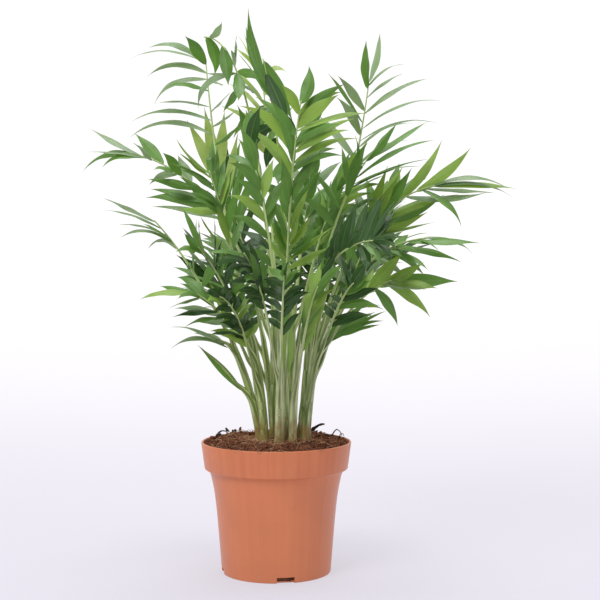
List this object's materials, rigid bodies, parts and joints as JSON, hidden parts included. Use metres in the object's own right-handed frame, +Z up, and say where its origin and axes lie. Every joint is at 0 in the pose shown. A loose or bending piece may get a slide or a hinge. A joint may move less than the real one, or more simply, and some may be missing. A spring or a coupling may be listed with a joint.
{
  "type": "potted parlour palm",
  "caption": "Parlour palm in a round plastic nursery pot: a clump of pale green stems with arching fronds of narrow leaflets, over fibrous soil level with the rim.",
  "frame": {"origin": "centre of the pot's flat underside, where it stands", "axes": "+Z up through the pot and the clump, -Y towards the plant's front, +X to its right as seen from the front"},
  "size_m": [0.3428, 0.3002, 0.4472],
  "materials": {
    "pot": "satin terracotta-orange moulded plastic",
    "soil": "coarse brown fibre and peat, rough",
    "stem": "smooth pale green sheaths with fine long ridges",
    "frond": "satin mid-green leaflets with pale green ribs"
  },
  "bodies": {
    "root": {"pot": "pot", "soil": "soil", "stem_1": "stem", "stem_2": "stem", "stem_3": "stem", "stem_4": "stem", "stem_5": "stem", "stem_6": "stem", "stem_7": "stem", "stem_8": "stem", "stem_9": "stem", "stem_10": "stem", "stem_11": "stem", "stem_12": "stem", "stem_13": "stem", "stem_14": "stem", "stem_15": "stem", "frond_left_1": "frond", "frond_left_2": "frond", "frond_left_3": "frond", "frond_left_4": "frond", "frond_left_5": "frond", "frond_right_1": "frond", "frond_right_2": "frond", "frond_right_3": "frond", "frond_right_4": "frond", "frond_right_5": "frond", "frond_right_6": "frond", "frond_top_1": "frond", "frond_top_2": "frond", "frond_top_3": "frond", "frond_top_4": "frond", "frond_top_5": "frond", "frond_top_6": "frond", "frond_top_7": "frond", "frond_top_8": "frond", "frond_top_9": "frond", "frond_top_10": "frond", "frond_front_1": "frond", "frond_front_2": "frond", "frond_front_3": "frond", "frond_front_4": "frond", "frond_front_5": "frond", "frond_front_6": "frond", "frond_front_7": "frond", "frond_front_8": "frond", "frond_front_9": "frond", "frond_back_1": "frond", "frond_back_2": "frond", "frond_back_3": "frond", "frond_back_4": "frond", "frond_back_5": "frond", "frond_back_6": "frond", "frond_back_7": "frond", "frond_back_8": "frond", "frond_back_9": "frond", "frond_back_10": "frond", "frond_young_1": "frond", "frond_young_2": "frond"}
  },
  "joints": []
}
